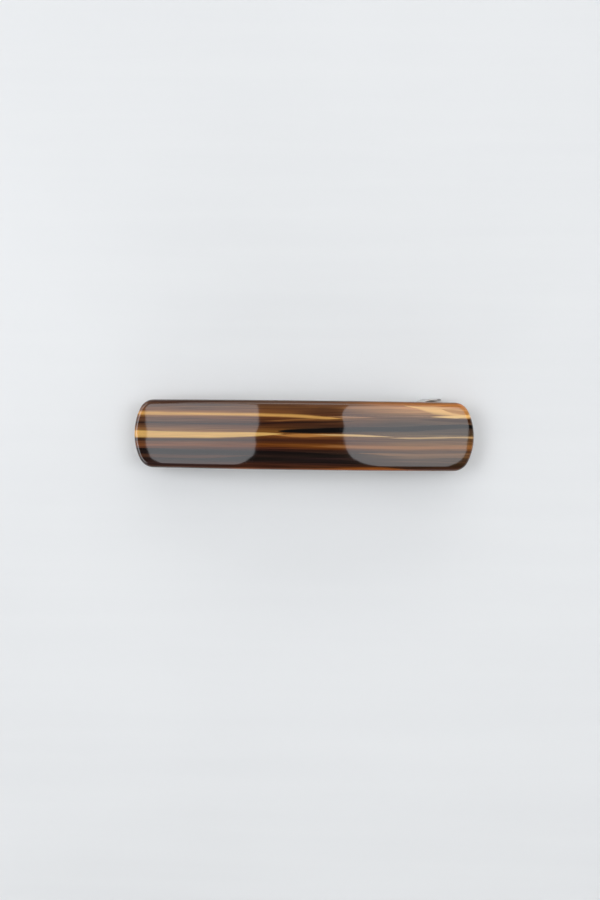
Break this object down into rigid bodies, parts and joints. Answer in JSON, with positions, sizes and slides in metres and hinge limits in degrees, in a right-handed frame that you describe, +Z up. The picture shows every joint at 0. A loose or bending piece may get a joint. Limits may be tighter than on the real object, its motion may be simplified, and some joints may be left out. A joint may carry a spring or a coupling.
{
  "type": "barrette",
  "caption": "Arched acetate hair barrette on a sprung steel French clip: hinged slotted clasp arm, bow spring and squeeze-to-open wing latch.",
  "frame": {"origin": "on the surface that the barrette lies on, below the middle of its overall box", "axes": "+X along the bar from the hinge end to the latch end, +Y towards the rear long edge, +Z up out of the polished face"},
  "size_m": [0.09, 0.019, 0.0162],
  "materials": {
    "streaked_acetate": "polished, streaked brown, amber and black",
    "nickel_plate": "bright nickel plate",
    "spring_steel": "plated spring steel",
    "rivet_steel": "plated, domed heads"
  },
  "bodies": {
    "bar_and_base": {"acetate_bar": "streaked_acetate", "clip_base": "nickel_plate", "fixing_pin_hinge_end": "rivet_steel", "fixing_pin_latch_end": "rivet_steel", "bow_spring": "spring_steel", "latch_bridge": "spring_steel", "latch_rivet": "rivet_steel", "hinge_pin": "rivet_steel"},
    "clasp_arm": {"clasp_arm": "nickel_plate"},
    "latch_wing_rear": {"latch_wing_rear": "spring_steel"},
    "latch_wing_front": {"latch_wing_front": "spring_steel"}
  },
  "joints": [
    {"name": "arm_hinge", "type": "hinge", "parent": "bar_and_base", "child": "clasp_arm", "pos_m": [-0.035, 0.0007, 0.0022], "axis": [0, 1, 0], "range_deg": [0, 95]},
    {"name": "latch_squeeze_rear", "type": "hinge", "parent": "bar_and_base", "child": "latch_wing_rear", "pos_m": [0.0265, 0.0042, 0.00847], "axis": [-0.2398, 0, -0.9708], "range_deg": [0, 8], "stiffness_Nm_per_rad": 0.02},
    {"name": "latch_squeeze_front", "type": "hinge", "parent": "bar_and_base", "child": "latch_wing_front", "pos_m": [0.0265, -0.0028, 0.00847], "axis": [-0.2398, 0, -0.9708], "range_deg": [-8, 0], "stiffness_Nm_per_rad": 0.02}
  ],
  "couplings": [
    {"joint": "latch_squeeze_front", "follows": "latch_squeeze_rear", "ratio": -1}
  ]
}
